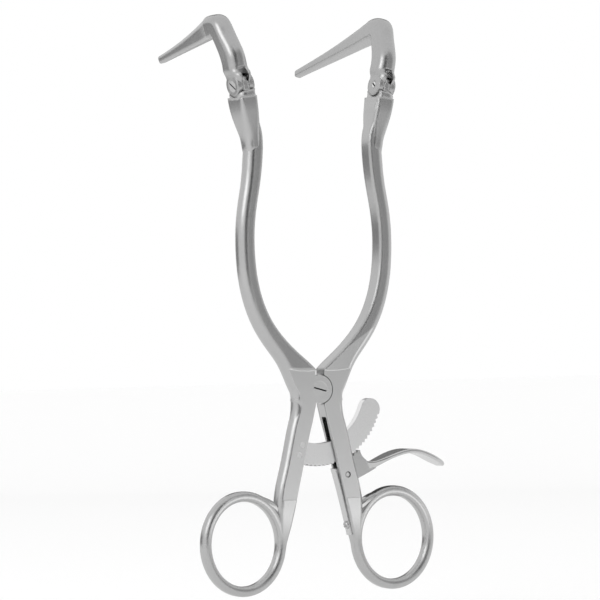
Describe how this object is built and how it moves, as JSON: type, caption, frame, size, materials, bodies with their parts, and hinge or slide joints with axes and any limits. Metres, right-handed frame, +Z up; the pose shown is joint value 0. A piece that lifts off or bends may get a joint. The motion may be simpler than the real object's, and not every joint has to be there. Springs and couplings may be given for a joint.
{
  "type": "self retaining retractor",
  "caption": "Ring-handled self-retaining surgical retractor with a ratchet and release lever, bowed arms and a hinged, backward-bent blunt prong on each arm.",
  "frame": {"origin": "on the joint screw's axis, in the plane of the joint's flat front face", "axes": "+Z up the instrument from the finger rings to the tips, +X to the right as seen from the front, -Y out of the front face where the joint screw's slot is; the prongs point to +Y"},
  "size_m": [0.1026, 0.0613, 0.2081],
  "materials": {
    "forged_steel": "satin",
    "satin_steel": "satin",
    "spring_steel": "satin",
    "screw_steel": "fine turned"
  },
  "bodies": {
    "left_half": {"left_half": "forged_steel", "joint_screw": "screw_steel", "ratchet_bar": "satin_steel", "upper_rivet": "satin_steel", "lower_rivet": "satin_steel"},
    "right_half": {"right_half": "forged_steel", "lever_pin": "satin_steel", "leaf_spring": "spring_steel", "spring_screw": "screw_steel"},
    "release_lever": {"release_lever": "satin_steel"},
    "left_tip": {"left_tip": "forged_steel", "left_hinge_screw": "screw_steel"},
    "right_tip": {"right_tip": "forged_steel", "right_hinge_screw": "screw_steel"}
  },
  "joints": [
    {"name": "spread", "type": "hinge", "parent": "left_half", "child": "right_half", "pos_m": [0, 0.0028, 0], "axis": [0, 1, 0], "range_deg": [-25.2, 25.2]},
    {"name": "release", "type": "hinge", "parent": "right_half", "child": "release_lever", "pos_m": [0.01135, 0.0028, -0.031], "axis": [0, 1, 0], "range_deg": [-4, 10], "stiffness_Nm_per_rad": 0.2, "deforming": ["leaf_spring"]},
    {"name": "left_tip_hinge", "type": "hinge", "parent": "left_half", "child": "left_tip", "pos_m": [-0.03, 0.0028, 0.1093], "axis": [-0.9781, 0, -0.2079], "range_deg": [-15, 40]},
    {"name": "right_tip_hinge", "type": "hinge", "parent": "right_half", "child": "right_tip", "pos_m": [0.03, 0.0028, 0.1093], "axis": [-0.9781, 0, 0.2079], "range_deg": [-15, 40]}
  ]
}
